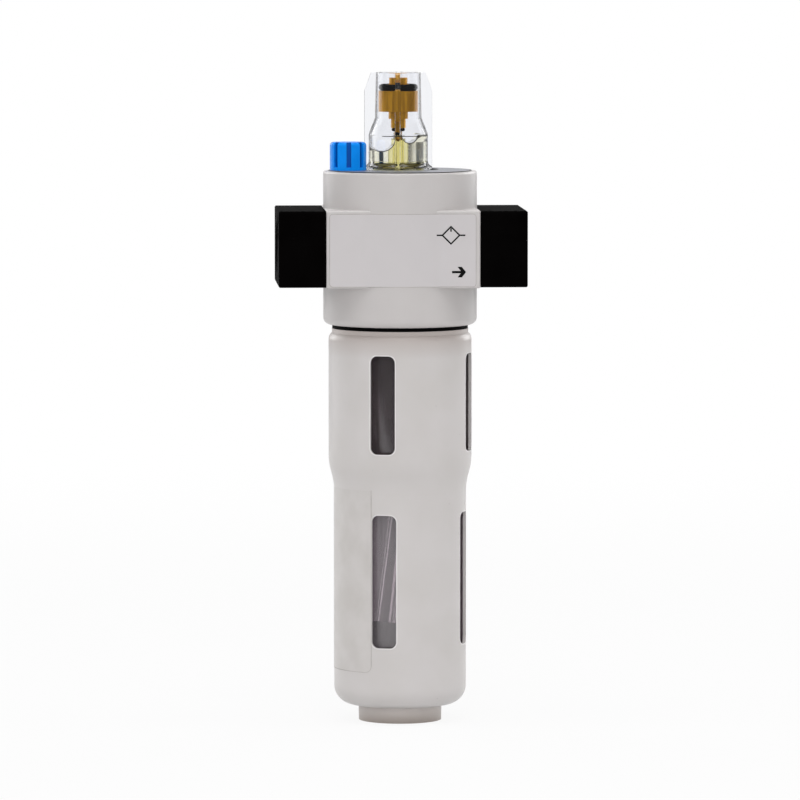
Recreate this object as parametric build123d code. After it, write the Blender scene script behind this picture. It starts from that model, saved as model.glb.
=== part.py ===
from build123d import *
import os
from math import asin, cos, degrees, radians, sin, sqrt

# A compact in-line lubricator for compressed air. Air enters the left plate,
# passes a venturi in the cast head and leaves on the right. Pressure in the
# bowl lifts oil up the hose, past a check ball, into the clear sight dome,
# where a brass needle screw sets how fast it drips back into the air.
# The origin is the middle of the bowl's flat foot, +Z is up, +X is the way
# the air flows, and the label side of the head faces -Y. Millimetres.

# Fits between pieces
slip = 0.10            # radial clearance of a thread or pilot
snug = 0.05            # clearance of a piece that stays put
seal_gap = 0.03        # clearance of a rubber ring at its seat

# Levels, stacked up from the foot
foot_reach = 4.15      # bowl foot below the guard
guard_height = 96.75
guard_gap = 1.0        # black ring between guard and head
head_height = 39.3
block_rise = 10.1      # head's bottom to the square block
block_height = 19.8
dome_rise = 25.05      # head's top to the dome's top

guard_bottom = foot_reach
guard_top = guard_bottom + guard_height
head_bottom = guard_top + guard_gap
head_top = head_bottom + head_height
block_bottom = head_bottom + block_rise
block_top = block_bottom + block_height
port_z = (block_bottom + block_top) / 2
dome_top = head_top + dome_rise

# Head casting
head_r = 19.7
head_heel = 1.8        # rounding at the head's bottom edge
head_rim = 0.5         # rounding at the head's top edge
block_width = 39.2
block_depth = 35.8
block_edge = 0.5
bore_r = 4.8           # air way through the block

# Connecting plates and their port threads
plate_thickness = 12.0
plate_depth = 35.6
plate_inset = 0.2      # block's top and bottom faces past the plate's
plate_edge = 0.8
port_r = 5.72          # core radius of a quarter inch pipe thread
port_length = 9.0
port_mouth = 0.9       # chamfer at the port's mouth
wall_hole_r = 1.65     # core of the M4 threads in the plates' backs
wall_hole_depth = 6.0
wall_hole_spacing = 52.0

# Plate screws, M4 with socket heads, two to a plate on a diagonal
screw_r = 2.0
screw_head_r = 3.5
screw_head_height = 4.0
screw_socket = 3.0     # across the flats of the hexagon
screw_bite = 6.2       # thread inside the casting
screw_y = 10.8
screw_z = 5.2

# Rubber rings between plates and block
port_seal_r = 7.2      # middle of the ring
port_seal_section = 0.8
port_seal_groove = 1.3

# Venturi and damper in the air way
venturi_start = -6.0
venturi_length = 18.0
venturi_mouth_r = 4.1
venturi_throat_r = 2.4
venturi_throat = 3.0   # length of the throat
oil_groove_depth = 0.7
oil_groove_width = 2.0
damper_thickness = 0.8
damper_slit = 0.5

# Cover plate let into the head's top
cover_r = 18.3
cover_thickness = 1.5
cover_proud = 0.2
cover_floor = head_top + cover_proud - cover_thickness

# Sight dome
dome_x = -0.2
dome_y = 5.0
dome_wall_r = 7.45     # outside of the sight chamber
dome_chamber_r = 6.7
dome_neck_r = 5.85     # outside of the neck at its foot
dome_neck_top_r = 5.6
dome_bore_r = 5.15
dome_foot_r = 8.6
dome_foot_height = 0.7
dome_flare = 2.0       # height of the hollow flare above the foot
dome_straight = 9.2    # straight wall, up to the cone
dome_cone = 4.2
dome_spigot = 5.8      # below the head's top
wing_r = 8.7
wing_top_r = 7.0
wing_chamfer = 4.6
wing_thickness = 1.3
wing_turn = -4.0
wing_count = 4
dome_ring_r = 10.3
dome_ring_height = 1.2
dome_seal_section = 0.55
dome_socket_depth = dome_spigot + 2 * dome_seal_section + seal_gap * 2
dome_socket_floor = head_top - dome_socket_depth

# Drip cup under the dome, with the riser that the needle closes
cup_height = 7.6
cup_bore_r = 1.0
riser_r = 1.8
riser_height = 6.2

# Needle screw and its rings
screw_barrel_r = dome_bore_r - slip * 0.8
barrel_depth = 4.75    # barrel's top below the dome's top
barrel_top = dome_top - barrel_depth
barrel_height = 5.3
barrel_neck_r = 3.35
barrel_neck = 1.5
slot_head_r = 2.35
slot_head_height = 1.8
slot_head_width = 0.7
slot_head_depth = 1.1
stem_r = 2.5
stem_length = 2.0
step_r = 1.9
step_length = 2.4
needle_r = 0.85
needle_length = 3.2
needle_tip = 0.6
barrel_seal_section = 0.82
needle_seal_section = 0.42

# Oil filler plug
plug_x = -13.38
plug_y = -2.0
plug_r = 4.68
plug_height = 7.2
plug_crown = 0.9
plug_ring = 0.8        # plain ring below the grooves
plug_groove = 1.2
plug_groove_depth = 1.0
plug_groove_count = 8
plug_shank_r = 3.2
plug_shank = 7.8
plug_seal_section = 0.6

# Bowl guard, drawn from sheet
guard_wall = 0.8
guard_lower_r = 16.95
guard_upper_r = 18.35
guard_collar_r = 17.5
guard_corner = 4.8
taper_bottom = 54.85   # above the guard's bottom
taper_height = 9.5
shoulder_drop = 1.1    # plain collar above the shoulder
shoulder_bend = 2.2
slot_turn = -17.0
slot_count = 4
slot_width = 6.4
slot_corner = 1.7
lower_slot_start = 15.85
lower_slot_height = 34.0
upper_slot_start = 65.5
upper_slot_height = 25.1
stake_count = 6
stake_turn = -32.7
stake_width = 2.0
stake_height = 1.2
stake_depth = 0.45
stake_level = 94.7

# Threaded ring staked into the guard, and the socket in the head
thread_r = 16.5
thread_length = 5.1    # inside the head
ring_skirt = 2.2       # below the shoulder's start
ring_bore_clearance = slip
socket_depth = 8.1
gap_ring_width = 0.85

# Bowl
bowl_r = 15.0
bowl_wall = 2.0
bowl_flange_r = 16.2
bowl_flange = 2.6
bowl_foot_r = 10.75
bowl_foot_draft = 0.15
bowl_foot_floor = 2.4
bowl_foot_wall = 2.2
bowl_floor_gap = 0.9   # above the guard's sheet
bowl_corner = 3.4

# Pilot boss that the bowl's mouth slides over, with its ring
pilot_height = 4.5
pilot_clearance = 0.4
bowl_seal_section = 0.72

# Oil lift: fitting, check ball, hose and filter
lift_x = 5.4
lift_y = 6.7
lift_r = 2.2
lift_length = 3.1
lift_flange_r = 2.9
lift_flange = 1.1
lift_tail_r = 1.45
lift_tail = 4.0
lift_way_r = 0.7
ball_r = 1.2
ball_cage = 2.4
oil_way_r = 0.9
hose_r = 2.5
hose_bore_r = 1.5
hose_straight = 5.5
hose_end = (-4.4, -4.0, 22.0)
filter_r = 3.6
filter_length = 13.0
filter_grip = 3.5

# Other drillings in the casting
drip_way_r = 1.0
drip_way_y = 3.0
air_way_x = -9.5
air_way_r = 0.8
fill_way_x = -7.2
fill_way_y = -7.0
fill_way_r = 1.2


def rod(radius, low, high, x=0.0, y=0.0):
    """Upright cylinder between two levels."""
    return Pos(x, y, low) * Cylinder(radius, high - low, align=(Align.CENTER, Align.CENTER, Align.MIN))


def rod_along_x(radius, start, end, y=0.0, z=port_z):
    """Cylinder lying along X between two stations."""
    flat = Cylinder(radius, end - start, align=(Align.CENTER, Align.CENTER, Align.MIN))
    return Pos(start, y, z) * Rot(Y=90) * flat


def drill(radius, start, end):
    """Slanting round hole from one point to another."""
    axis = Plane(origin=start, z_dir=Vector(*end) - Vector(*start))
    length = (Vector(*end) - Vector(*start)).length
    return axis * Cylinder(radius, length, align=(Align.CENTER, Align.CENTER, Align.MIN))


def turned(points):
    """Solid turned about Z from a closed outline of (radius, level) points."""
    return revolve(Plane.XZ * make_face(Polyline(*points, close=True)), Axis.Z)


def rubber_ring(middle_r, section, level, x=0.0, y=0.0):
    """Rubber ring lying flat, its middle at the given level."""
    return Pos(x, y, level) * Torus(middle_r, section)


def port_seal(face_x, inward):
    """Flattened rubber ring in the groove of one side face of the block."""
    half = (port_seal_groove - seal_gap) / 2
    whole = Torus(port_seal_r, port_seal_section)
    flattened = whole & Box(4 * port_seal_r, 4 * port_seal_r, 2 * half)
    return Pos(face_x + inward * port_seal_groove / 2, 0, port_z) * Rot(Y=90) * flattened


screw_places = [(-screw_y, port_z + screw_z), (screw_y, port_z - screw_z)]
plate_screw_seat = plate_thickness - screw_head_height - 0.2
socket_ceiling = head_bottom + socket_depth
pilot_r = bowl_r - bowl_wall - pilot_clearance
pilot_bottom = socket_ceiling - pilot_height
seal_groove_r = bowl_r - bowl_wall - 2 * bowl_seal_section - seal_gap
seal_level = socket_ceiling - pilot_height / 2 - 0.4


def head_casting():
    """Die-cast head: round body, square block, air way and drillings."""
    body = rod(head_r, head_bottom, head_top)
    body = fillet(body.edges().group_by(Axis.Z)[0], head_heel)
    body = fillet(body.edges().group_by(Axis.Z)[-1], head_rim)
    block = Pos(0, 0, port_z) * Box(block_width, block_depth, block_height)
    block = fillet(block.edges(), block_edge)
    band = Pos(0, 0, port_z) * Box(3 * head_r, 3 * head_r, block_height)
    kept = Pos(0, 0, port_z) * Box(block_width, 3 * head_r, 2 * block_height)
    body = body - (band - kept) + block

    body -= rod(cover_r + slip, cover_floor, head_top + 1)
    body -= rod(dome_wall_r + snug, dome_socket_floor, head_top, dome_x, dome_y)
    body -= rod_along_x(bore_r, -block_width, block_width)

    socket = rod(thread_r + slip, head_bottom - 1, socket_ceiling)
    pilot = rod(pilot_r, pilot_bottom, socket_ceiling + 1)
    groove = rod(pilot_r + 1, seal_level - bowl_seal_section - seal_gap,
                 seal_level + bowl_seal_section + seal_gap)
    groove -= rod(seal_groove_r, pilot_bottom - 1, socket_ceiling + 1)
    body = body - (socket - (pilot - groove))

    for side in (-1, 1):
        face = side * block_width / 2
        ends = (face - port_seal_groove, face + port_seal_groove)
        trench = rod_along_x(port_seal_r + port_seal_section, *ends)
        trench -= rod_along_x(port_seal_r - port_seal_section, *ends)
        body -= trench
        for y, z in screw_places:
            deep = face - side * (screw_bite + 0.5)
            body -= rod_along_x(screw_r + snug, min(face + side, deep), max(face + side, deep), y, z)

    lift_top = pilot_bottom + lift_length + snug
    body -= rod(lift_r + snug, pilot_bottom - 1, lift_top, lift_x, lift_y)
    body -= rod(oil_way_r, lift_top, dome_socket_floor + 1, lift_x, lift_y)
    body -= rod(drip_way_r, port_z, dome_socket_floor + 1, 0, drip_way_y)
    body -= rod(air_way_r, pilot_bottom - 1, port_z, air_way_x, 0)

    plug_floor = cover_floor + cover_thickness - plug_shank - 0.5
    body -= rod(plug_shank_r + slip, plug_floor, head_top, plug_x, plug_y)
    turn_z = plug_floor - (plug_floor - block_top) - plug_crown * 4
    body -= drill(fill_way_r, (plug_x, plug_y, plug_floor + fill_way_r / 2), (fill_way_x, fill_way_y, turn_z))
    body -= rod(fill_way_r, pilot_bottom - 1, turn_z + fill_way_r / 2, fill_way_x, fill_way_y)
    return body


def cover_plate():
    """Round plate in the head's top, open for the dome and the plug's ring."""
    plate = rod(cover_r, cover_floor, cover_floor + cover_thickness)
    plate -= rod(dome_ring_r + slip, cover_floor - 1, head_top + 1, dome_x, dome_y)
    plate -= rod(plug_shank_r + 2 * plug_seal_section + slip, cover_floor - 1, head_top + 1, plug_x, plug_y)
    return plate


def dome_ring():
    """Black ring that the dome's foot is screwed down on."""
    ring = rod(dome_ring_r, cover_floor, cover_floor + dome_ring_height, dome_x, dome_y)
    return ring - rod(dome_wall_r + slip, cover_floor - 1, head_top + 1, dome_x, dome_y)


def sight_dome():
    """Clear dome: threaded spigot, sight chamber, neck and four wings."""
    foot = head_top
    flare_bottom = foot + dome_foot_height
    cone_bottom = foot + dome_straight
    cone_top = cone_bottom + dome_cone
    outside = [
        (0, foot - dome_spigot),
        (dome_wall_r - slip / 2, foot - dome_spigot),
        (dome_wall_r - slip / 2, foot),
        (dome_foot_r, foot),
        (dome_foot_r, flare_bottom),
    ]
    flare = ThreePointArc(
        (dome_foot_r, flare_bottom),
        (dome_wall_r + 0.3 * (dome_foot_r - dome_wall_r), flare_bottom + 0.3 * dome_flare),
        (dome_wall_r, flare_bottom + dome_flare),
    )
    upper = Polyline(
        (dome_wall_r, flare_bottom + dome_flare),
        (dome_wall_r, cone_bottom),
        (dome_neck_r, cone_top),
        (dome_neck_top_r, dome_top),
        (0, dome_top),
        outside[0],
    )
    shell = revolve(Plane.XZ * make_face(Polyline(*outside) + flare + upper), Axis.Z)

    wing = make_face(Polyline(
        (0, foot + dome_foot_height),
        (wing_r, foot + dome_foot_height),
        (wing_r, dome_top - wing_chamfer),
        (wing_top_r, dome_top),
        (0, dome_top),
        close=True,
    ))
    blade = extrude(Plane.XZ * wing, amount=wing_thickness / 2, both=True)
    for index in range(wing_count):
        shell += Rot(Z=wing_turn + index * 360 / wing_count) * blade

    chamber = turned([
        (0, foot - dome_spigot - 1),
        (dome_chamber_r, foot - dome_spigot - 1),
        (dome_chamber_r, cone_bottom - 0.3),
        (dome_bore_r, cone_top),
        (dome_bore_r, dome_top + 1),
        (0, dome_top + 1),
    ])
    return Pos(dome_x, dome_y) * (shell - chamber)


def drip_cup():
    """Clear cup that closes the chamber below, with a riser for the needle."""
    low = head_top - dome_spigot + snug
    cup = rod(dome_chamber_r - snug, low, low + cup_height, dome_x, dome_y)
    cup += rod(riser_r, low, low + cup_height + riser_height, dome_x, dome_y)
    cup -= rod(cup_bore_r, low - 1, dome_top, dome_x, dome_y)
    cup -= rod(oil_way_r, low - 1, dome_top, lift_x, lift_y)
    return cup


def needle_screw():
    """Brass screw: slotted head, ring neck, barrel, stepped stem, needle."""
    barrel_bottom = barrel_top - barrel_height
    step_top = barrel_bottom - stem_length
    needle_top = step_top - step_length
    needle_bottom = needle_top - needle_length
    neck_top = barrel_top + barrel_neck
    head_top_z = neck_top + slot_head_height
    screw = turned([
        (0, needle_bottom),
        (needle_r / 4, needle_bottom),
        (needle_r, needle_bottom + needle_tip),
        (needle_r, needle_top),
        (step_r, needle_top),
        (step_r, step_top),
        (stem_r, step_top),
        (stem_r, barrel_bottom),
        (screw_barrel_r, barrel_bottom),
        (screw_barrel_r, barrel_top),
        (barrel_neck_r, barrel_top),
        (barrel_neck_r, neck_top),
        (slot_head_r, neck_top),
        (slot_head_r, head_top_z),
        (0, head_top_z),
    ])
    slot = Pos(0, 0, head_top_z) * Box(3 * slot_head_r, slot_head_width, 2 * slot_head_depth)
    return Pos(dome_x, dome_y) * (screw - slot)


def needle_rings():
    """Rubber rings on the needle screw, at its barrel and at its needle."""
    barrel_ring = rubber_ring(barrel_neck_r + seal_gap + barrel_seal_section, barrel_seal_section,
                              barrel_top + seal_gap + barrel_seal_section, dome_x, dome_y)
    needle_top = barrel_top - barrel_height - stem_length - step_length
    needle_ring = rubber_ring(needle_r + seal_gap + needle_seal_section, needle_seal_section,
                              needle_top - seal_gap - needle_seal_section, dome_x, dome_y)
    return barrel_ring, needle_ring


def filler_plug():
    """Blue filler plug: grooved grip over a threaded shank."""
    seat = cover_floor + cover_thickness + snug
    grip = rod(plug_r, seat, seat + plug_height, plug_x, plug_y)
    grip = fillet(grip.edges().group_by(Axis.Z)[-1], plug_crown)
    cutter = Box(2 * plug_groove_depth, plug_groove, plug_height)
    for index in range(plug_groove_count):
        angle = -90 + index * 360 / plug_groove_count
        place = Pos(plug_x, plug_y, seat + plug_ring + plug_height / 2) * Rot(Z=angle) * Pos(X=plug_r)
        grip -= place * cutter
    shank = rod(plug_shank_r, seat - plug_shank, seat, plug_x, plug_y)
    shank = chamfer(shank.edges().group_by(Axis.Z)[0], 0.5)
    return grip + shank


def venturi():
    """Flow insert: wide mouth, narrow throat, oil groove with one inlet."""
    outer = bore_r - snug
    start, end = venturi_start, venturi_start + venturi_length
    throat_start = -venturi_throat / 2
    groove = oil_groove_width / 2
    outline = [
        (venturi_mouth_r, start), (outer, start), (outer, -groove), (outer - oil_groove_depth, -groove),
        (outer - oil_groove_depth, groove), (outer, groove), (outer, end), (venturi_mouth_r, end),
        (venturi_throat_r, venturi_throat / 2), (venturi_throat_r, throat_start),
    ]
    insert = Pos(Z=port_z) * Rot(Y=90) * turned(outline)
    return insert - rod(oil_groove_depth, port_z, port_z + 2 * outer)


def flow_damper():
    """Rubber disc with a cross slit that bends open with the air."""
    radius = bore_r - snug
    disc = rod_along_x(radius, venturi_start - damper_thickness - snug, venturi_start - snug)
    for angle in (0, 90):
        slit = Rot(X=angle) * Box(4 * damper_thickness, damper_slit, 1.5 * radius)
        disc -= Pos(venturi_start, 0, port_z) * slit
    return disc


def connecting_plate(side):
    """Plate with a port thread, two screw holes and a thread at the back."""
    inner = side * block_width / 2
    outer = inner + side * plate_thickness
    height = block_height - 2 * plate_inset
    body = Pos((inner + outer) / 2, 0, port_z) * Box(plate_thickness, plate_depth, height)
    body = fillet(body.edges().filter_by(Axis.X), plate_edge)
    body = chamfer(body.faces().sort_by(Axis.X)[0 if side < 0 else -1].outer_wire().edges(), plate_edge / 3)

    def hole(radius, depth_from, depth_to, y=0.0, z=port_z):
        """Round hole along X between two depths from the outer face."""
        ends = sorted((outer - side * depth_from, outer - side * depth_to))
        return rod_along_x(radius, ends[0], ends[1], y, z)

    body -= hole(bore_r, -1, plate_thickness + 1)
    body -= hole(port_r, -1, port_length)
    mouth = Cone(port_r, port_r + port_mouth, port_mouth, align=(Align.CENTER, Align.CENTER, Align.MIN))
    body -= Pos(outer - side * port_mouth, 0, port_z) * Rot(Y=90 * side) * mouth
    for y, z in screw_places:
        body -= hole(screw_r + 2 * slip, -1, plate_thickness + 1, y, z)
        body -= hole(screw_head_r + slip, -1, plate_thickness - plate_screw_seat, y, z)
    wall_hole = Cylinder(wall_hole_r, 2 * wall_hole_depth)
    body -= Pos(side * wall_hole_spacing / 2, plate_depth / 2, port_z) * Rot(X=90) * wall_hole
    return body


def plate_screws(side):
    """Both socket-head screws of one connecting plate, as separate solids."""
    face = side * block_width / 2
    seat = face + side * plate_screw_seat
    screws = []
    for y, z in screw_places:
        tip = face - side * screw_bite
        shank = rod_along_x(screw_r, min(tip, seat), max(tip, seat), y, z)
        top = seat + side * screw_head_height
        head = rod_along_x(screw_head_r, min(seat, top), max(seat, top), y, z)
        hexagon = RegularPolygon(screw_socket / 2, 6, major_radius=False)
        key = Rot(Y=90) * extrude(hexagon, screw_head_height, both=True)
        key = Pos(seat + side * 1.5 * screw_head_height, y, z) * key
        screws.append(shank + head - key)
    return Compound(screws)


def bowl_guard():
    """Drawn sleeve with a waist, two rows of windows and staked dimples."""
    taper_top = guard_bottom + taper_bottom + taper_height
    hip = (guard_lower_r + guard_upper_r) / 2
    bend = degrees(asin(sqrt(1 - (1 - (guard_upper_r - guard_collar_r) / shoulder_bend) ** 2)))
    shoulder_end = guard_top - shoulder_drop
    shoulder_start = shoulder_end - shoulder_bend * sin(radians(bend))
    with BuildLine() as outline:
        foot = Line((bowl_foot_r + 2 * slip, guard_bottom), (guard_lower_r - guard_corner, guard_bottom))
        heel = TangentArc(foot @ 1, (guard_lower_r, guard_bottom + guard_corner), tangent=foot % 1)
        side = Line(heel @ 1, (guard_lower_r, guard_bottom + taper_bottom))
        flare = TangentArc(side @ 1, (hip, taper_top - taper_height / 2), tangent=side % 1)
        swell = TangentArc(flare @ 1, (guard_upper_r, taper_top), tangent=flare % 1)
        wall = Line(swell @ 1, (guard_upper_r, shoulder_start))
        shoulder = CenterArc((guard_upper_r - shoulder_bend, shoulder_start), shoulder_bend, 0, bend)
        Line(shoulder @ 1, (guard_collar_r, guard_top))
    sheet = make_face(offset(outline.wires()[0], guard_wall, kind=Kind.INTERSECTION, side=Side.LEFT))
    sleeve = revolve(Plane.XZ * sheet, Axis.Z)

    rows = [(lower_slot_start, lower_slot_height), (upper_slot_start, upper_slot_height)]
    for start, height in rows:
        window = RectangleRounded(slot_width, height, slot_corner)
        cutter = extrude(Plane.XZ * window, 2 * guard_upper_r)
        for index in range(slot_count):
            turn = slot_turn + index * 360 / slot_count
            sleeve -= Pos(Z=guard_bottom + start + height / 2) * Rot(Z=turn) * cutter

    mark = make_face(Polyline(
        (-stake_width / 2, stake_height), (stake_width / 2, stake_height), (0, 0), close=True,
    ))
    lean = degrees(asin(stake_depth / stake_height))
    punch = Rot(X=-lean) * extrude(Plane.XZ * mark, guard_wall)
    for index in range(stake_count):
        turn = stake_turn + index * 360 / stake_count
        sleeve -= Rot(Z=turn) * Pos(0, -guard_upper_r, guard_bottom + stake_level - stake_height / 2) * punch
    return sleeve


def thread_ring():
    """Threaded ring inside the guard's mouth that carries the bowl."""
    skirt_r = guard_upper_r - guard_wall - slip
    shoulder_level = guard_top - shoulder_drop - shoulder_bend
    return turned([
        (bowl_r + ring_bore_clearance, shoulder_level - ring_skirt),
        (skirt_r, shoulder_level - ring_skirt),
        (skirt_r, shoulder_level),
        (thread_r, shoulder_level + skirt_r - thread_r),
        (thread_r, head_bottom + thread_length),
        (bowl_r + ring_bore_clearance, head_bottom + thread_length),
    ])


def gap_ring():
    """Black ring around the thread, between guard and head."""
    low, high = guard_top + snug, head_bottom - snug
    return rod(thread_r + snug + gap_ring_width, low, high) - rod(thread_r + snug, low - 1, high + 1)


def bowl():
    """Clear bowl: flange, straight wall, rounded floor and hollow foot."""
    flange_bottom = head_bottom + thread_length + snug
    rim = flange_bottom + bowl_flange
    floor = guard_bottom + guard_wall + bowl_floor_gap
    inner_r = bowl_r - bowl_wall
    sump_r = bowl_foot_r - bowl_foot_wall
    outer = Polyline(
        (0, 0), (bowl_foot_r - bowl_foot_draft, 0), (bowl_foot_r, floor), (bowl_r - bowl_corner, floor),
    )
    corner = TangentArc((bowl_r - bowl_corner, floor), (bowl_r, floor + bowl_corner), tangent=(1, 0))
    upper = Polyline(
        (bowl_r, floor + bowl_corner), (bowl_r, flange_bottom), (bowl_flange_r, flange_bottom),
        (bowl_flange_r, rim), (inner_r, rim), (inner_r, floor + bowl_corner + bowl_wall / 2),
    )
    inner_corner_r = inner_r - sump_r - bowl_wall / 2
    hollow_floor = floor + bowl_corner + bowl_wall / 2 - inner_corner_r
    inner_corner = TangentArc((inner_r, floor + bowl_corner + bowl_wall / 2),
                              (inner_r - inner_corner_r, hollow_floor), tangent=(0, -1))
    lower = Polyline(
        (inner_r - inner_corner_r, hollow_floor), (sump_r, hollow_floor),
        (sump_r, bowl_foot_floor), (0, bowl_foot_floor), (0, 0),
    )
    section = make_face(outer + corner + upper + inner_corner + lower)
    return revolve(Plane.XZ * section, Axis.Z)


lift_seat = pilot_bottom + lift_length - ball_cage
ball_level = lift_seat + sqrt(ball_r ** 2 - lift_way_r ** 2) + seal_gap


def lift_fitting():
    """Fitting under the head: ball cage above, hose tail below."""
    top = pilot_bottom + lift_length
    flange_bottom = pilot_bottom - snug - lift_flange
    fitting = rod(lift_r, pilot_bottom - 2 * snug, top)
    fitting += rod(lift_flange_r, flange_bottom, pilot_bottom - snug)
    fitting += rod(lift_tail_r, flange_bottom - lift_tail, flange_bottom + snug)
    fitting -= rod(lift_way_r, flange_bottom - lift_tail - 1, top + 1)
    fitting -= rod(ball_r + 3 * snug, lift_seat, top + 1)
    return Pos(lift_x, lift_y) * fitting


def check_ball():
    """Steel ball that stops the oil from running back."""
    return Pos(lift_x, lift_y, ball_level) * Sphere(ball_r)


def hose_route():
    """Middle line of the hose, from the fitting down to the filter."""
    top = Vector(lift_x, lift_y, pilot_bottom - 2 * snug - lift_flange)
    turn = top - Vector(0, 0, hose_straight)
    end = Vector(*hose_end)
    half_turn = radians((turn - top).get_angle(end - turn) / 2)
    radius = 0.45 * hose_straight * cos(half_turn) / sin(half_turn)
    return FilletPolyline(top, turn, end, radius=radius)


def suction_hose():
    """Clear hose, hollow from end to end."""
    route = hose_route()
    start = Plane(origin=route @ 0, z_dir=route % 0)
    wall = start * (Circle(hose_r) - Circle(hose_bore_r))
    return sweep(wall, path=route)


def siphon_filter():
    """Sintered filter pushed over the hose's lower end."""
    route = hose_route()
    along = Plane(origin=route @ 1, z_dir=route % 1)
    body = Cylinder(filter_r, filter_length, align=(Align.CENTER, Align.CENTER, Align.MIN))
    body = fillet(body.edges().group_by(Axis.Z)[-1], filter_r / 2)
    seat = Cylinder(hose_r + snug, filter_grip + snug, align=(Align.CENTER, Align.CENTER, Align.MIN))
    return along * Pos(Z=-filter_grip) * (body - seat)


barrel_ring, needle_ring = needle_rings()
nodes = {
    "head_casting": head_casting(),
    "top_cover_plate": cover_plate(),
    "dome_foot_ring": dome_ring(),
    "sight_dome": sight_dome(),
    "dome_o_ring": rubber_ring(dome_wall_r - dome_seal_section - seal_gap, dome_seal_section,
                               dome_socket_floor + seal_gap + dome_seal_section, dome_x, dome_y),
    "drip_cup": drip_cup(),
    "adjusting_screw": needle_screw(),
    "adjusting_screw_o_ring": barrel_ring,
    "needle_o_ring": needle_ring,
    "filler_plug": filler_plug(),
    "filler_plug_o_ring": rubber_ring(plug_shank_r + seal_gap + plug_seal_section, plug_seal_section,
                                      cover_floor + seal_gap + plug_seal_section, plug_x, plug_y),
    "inlet_plate": connecting_plate(-1),
    "outlet_plate": connecting_plate(1),
    "inlet_plate_screws": plate_screws(-1),
    "outlet_plate_screws": plate_screws(1),
    "inlet_seal": port_seal(-block_width / 2, 1),
    "outlet_seal": port_seal(block_width / 2, -1),
    "venturi_insert": venturi(),
    "flow_damper": flow_damper(),
    "bowl_guard": bowl_guard(),
    "guard_thread_ring": thread_ring(),
    "guard_gap_ring": gap_ring(),
    "bowl": bowl(),
    "bowl_o_ring": rubber_ring(seal_groove_r + bowl_seal_section, bowl_seal_section, seal_level),
    "lift_fitting": lift_fitting(),
    "check_ball": check_ball(),
    "suction_hose": suction_hose(),
    "siphon_filter": siphon_filter(),
}

os.makedirs("parts", exist_ok=True)
for name, shape in nodes.items():
    export_step(shape, f"parts/{name}.step")
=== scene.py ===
import logging
import math
from dataclasses import dataclass
from enum import Enum
from typing import Any, Callable, Optional, Sequence

import bmesh
import bpy
from mathutils import Euler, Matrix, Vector


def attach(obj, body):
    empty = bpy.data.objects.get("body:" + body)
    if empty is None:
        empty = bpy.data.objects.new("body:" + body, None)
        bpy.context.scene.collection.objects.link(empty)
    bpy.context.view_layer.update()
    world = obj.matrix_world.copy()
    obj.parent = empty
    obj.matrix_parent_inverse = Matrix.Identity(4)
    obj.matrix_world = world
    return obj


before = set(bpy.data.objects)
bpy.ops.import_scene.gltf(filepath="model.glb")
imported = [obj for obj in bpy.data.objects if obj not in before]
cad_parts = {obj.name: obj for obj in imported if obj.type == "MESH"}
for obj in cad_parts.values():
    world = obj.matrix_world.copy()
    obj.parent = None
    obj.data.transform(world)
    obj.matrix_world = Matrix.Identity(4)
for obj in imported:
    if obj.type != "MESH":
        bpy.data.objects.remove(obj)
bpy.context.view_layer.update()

# Looks and studio for a compact compressed-air lubricator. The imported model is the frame: every
# piece made here is placed in its coordinates, +Z up, with the origin under the bowl's foot.
# Sizes in the classes are millimetres; a mesh is in metres.

MM = 0.001
LOG = logging.getLogger("lubricator")

Point = tuple[float, float, float]
Lift = Callable[[float, float, float], Point]
Outline = Sequence[tuple[float, float]]
Faces = list[tuple[int, ...]]

# Points of a mesh that are nearer to each other than this, in millimetres, are one point.
WELD = 0.002
# Multiplied with a place, it leaves the part across the upright axis.
FLAT: Point = (1.0, 1.0, 0.0)
# Levels of the clouds between which a colour and a gloss turn.
CLOUD_EDGES = (0.35, 0.65)
GLOSS_EDGES = (0.3, 0.7)
# How far a face looks up where a wall turns into a crown.
CROWN_EDGES = (0.3, 0.6)


class Side(Enum):
    """The two ends of the air way, as the sign of X."""

    INLET = -1
    OUTLET = 1


class Inside(Enum):
    """What the inner face of a painted sheet carries."""

    SAME = "same"
    DARK = "dark"


def linear(colour: str) -> tuple[float, float, float, float]:
    """Turn an sRGB hex colour into linear RGBA.

    Args:
        colour: Six hex digits, with or without a leading hash.

    Returns:
        Red, green and blue as linear light, and an alpha of 1.
    """
    digits = colour.lstrip("#")
    shares = [int(digits[place:place + 2], 16) / 255 for place in (0, 2, 4)]
    red, green, blue = (s / 12.92 if s <= 0.04045 else ((s + 0.055) / 1.055) ** 2.4 for s in shares)
    return red, green, blue, 1.0


def in_metres(span: tuple[float, float]) -> tuple[float, float]:
    """Return a span of millimetres in metres."""
    return span[0] * MM, span[1] * MM


def add_node(tree: bpy.types.NodeTree, kind: str, inputs: Optional[dict[Any, Any]] = None,
             **settings: Any) -> bpy.types.Node:
    """Add one node with its settings and links.

    Map Range has the value as input 0, its two limits as 1 and 2, and what they become as 3 and 4.
    Mix has the share as input 0 and its two colours as 6 and 7, and gives the colour as output 2.

    Args:
        tree: The node tree that gets the node.
        kind: The node's type name, without its leading ShaderNode.
        inputs: A value or an output socket for each named or numbered input.
        settings: The node's own properties.

    Returns:
        The new node.
    """
    node = tree.nodes.new("ShaderNode" + kind)
    for key, value in settings.items():
        setattr(node, key, value)
    for key, value in (inputs or {}).items():
        if isinstance(value, bpy.types.NodeSocket):
            tree.links.new(value, node.inputs[key])
        else:
            node.inputs[key].default_value = value
    return node


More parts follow.
